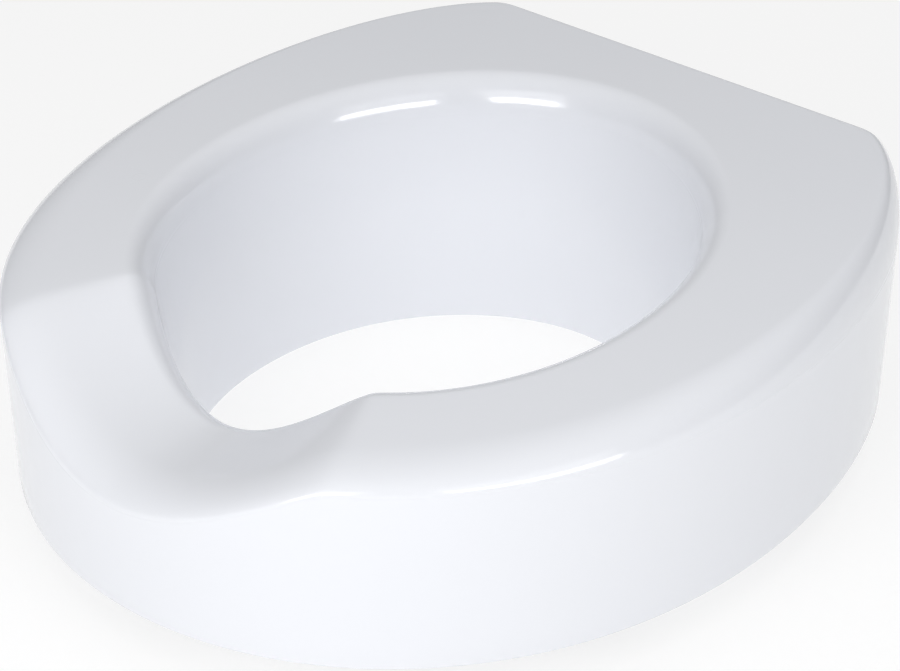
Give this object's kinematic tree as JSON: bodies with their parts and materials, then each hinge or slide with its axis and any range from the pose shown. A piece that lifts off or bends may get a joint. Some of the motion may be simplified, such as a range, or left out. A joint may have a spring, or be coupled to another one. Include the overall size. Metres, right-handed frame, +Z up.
{
  "type": "raised toilet seat",
  "caption": "Raised toilet seat: moulded ring with a front notch and straight rear edge, on a base ring with rubber rim pads and sliding brackets that grip the bowl.",
  "frame": {"origin": "middle of the footprint, on the plane of the inner skirt's bottom edge, on which the seat stands", "axes": "+Z up, -Y to the notched front, +Y to the straight rear edge, +X to the sitter's left when seated facing the front"},
  "size_m": [0.395, 0.4156, 0.1423],
  "materials": {
    "seat_plastic": "smooth moulded gloss, cool white",
    "ring_plastic": "fine moulded texture, light grey white",
    "screw_steel": "zinc plated",
    "pad_rubber": "matt moulded rubber",
    "grip_rubber": "matt ribbed rubber",
    "bracket_plastic": "satin moulded",
    "lock_steel": "turned, zinc plated",
    "washer_steel": "stamped, zinc plated",
    "insert_brass": "turned"
  },
  "bodies": {
    "seat": {"seat_shell": "seat_plastic", "base_ring": "ring_plastic", "ring_screws": "screw_steel", "rim_pad_front": "pad_rubber", "rim_pad_rear": "pad_rubber", "rim_pad_right_front": "pad_rubber", "rim_pad_right_rear": "pad_rubber", "rim_pad_left_front": "pad_rubber", "rim_pad_left_rear": "pad_rubber", "insert_front_right": "insert_brass", "insert_front_left": "insert_brass", "insert_rear_right": "insert_brass", "insert_rear_left": "insert_brass"},
    "bracket_front_right_body": {"bracket_front_right": "bracket_plastic", "grip_front_right": "grip_rubber"},
    "washer_front_right_body": {"washer_front_right": "washer_steel"},
    "lock_screw_front_right_body": {"lock_screw_front_right": "lock_steel"},
    "bracket_front_left_body": {"bracket_front_left": "bracket_plastic", "grip_front_left": "grip_rubber"},
    "washer_front_left_body": {"washer_front_left": "washer_steel"},
    "lock_screw_front_left_body": {"lock_screw_front_left": "lock_steel"},
    "bracket_rear_right_body": {"bracket_rear_right": "bracket_plastic", "grip_rear_right": "grip_rubber"},
    "washer_rear_right_body": {"washer_rear_right": "washer_steel"},
    "lock_screw_rear_right_body": {"lock_screw_rear_right": "lock_steel"},
    "bracket_rear_left_body": {"bracket_rear_left": "bracket_plastic", "grip_rear_left": "grip_rubber"},
    "washer_rear_left_body": {"washer_rear_left": "washer_steel"},
    "lock_screw_rear_left_body": {"lock_screw_rear_left": "lock_steel"}
  },
  "joints": [
    {"name": "bracket_front_right_slide", "type": "slide", "parent": "seat", "child": "bracket_front_right_body", "axis": [0.6428, -0.766, 0], "range_m": [0, 0.02]},
    {"name": "washer_front_right_drop", "type": "slide", "parent": "seat", "child": "washer_front_right_body", "axis": [0, 0, -1], "range_m": [0, 0.0025]},
    {"name": "lock_screw_front_right_turn", "type": "hinge", "parent": "washer_front_right_body", "child": "lock_screw_front_right_body", "pos_m": [0.09912, -0.12754, 0.032], "axis": [0, 0, -1], "range_deg": [0, 900]},
    {"name": "bracket_front_left_slide", "type": "slide", "parent": "seat", "child": "bracket_front_left_body", "axis": [-0.6428, -0.766, 0], "range_m": [0, 0.02]},
    {"name": "washer_front_left_drop", "type": "slide", "parent": "seat", "child": "washer_front_left_body", "axis": [0, 0, -1], "range_m": [0, 0.0025]},
    {"name": "lock_screw_front_left_turn", "type": "hinge", "parent": "washer_front_left_body", "child": "lock_screw_front_left_body", "pos_m": [-0.09912, -0.12754, 0.032], "axis": [0, 0, -1], "range_deg": [0, 900]},
    {"name": "bracket_rear_right_slide", "type": "slide", "parent": "seat", "child": "bracket_rear_right_body", "axis": [0.6428, 0.766, 0], "range_m": [0, 0.02]},
    {"name": "washer_rear_right_drop", "type": "slide", "parent": "seat", "child": "washer_rear_right_body", "axis": [0, 0, -1], "range_m": [0, 0.0025]},
    {"name": "lock_screw_rear_right_turn", "type": "hinge", "parent": "washer_rear_right_body", "child": "lock_screw_rear_right_body", "pos_m": [0.09317, 0.14117, 0.032], "axis": [0, 0, -1], "range_deg": [0, 900]},
    {"name": "bracket_rear_left_slide", "type": "slide", "parent": "seat", "child": "bracket_rear_left_body", "axis": [-0.6428, 0.766, 0], "range_m": [0, 0.02]},
    {"name": "washer_rear_left_drop", "type": "slide", "parent": "seat", "child": "washer_rear_left_body", "axis": [0, 0, -1], "range_m": [0, 0.0025]},
    {"name": "lock_screw_rear_left_turn", "type": "hinge", "parent": "washer_rear_left_body", "child": "lock_screw_rear_left_body", "pos_m": [-0.09317, 0.14117, 0.032], "axis": [0, 0, -1], "range_deg": [0, 900]}
  ],
  "couplings": [
    {"joint": "lock_screw_front_right_turn", "follows": "washer_front_right_drop", "rad_per_m": 6283.2},
    {"joint": "lock_screw_front_left_turn", "follows": "washer_front_left_drop", "rad_per_m": 6283.2},
    {"joint": "lock_screw_rear_right_turn", "follows": "washer_rear_right_drop", "rad_per_m": 6283.2},
    {"joint": "lock_screw_rear_left_turn", "follows": "washer_rear_left_drop", "rad_per_m": 6283.2}
  ]
}
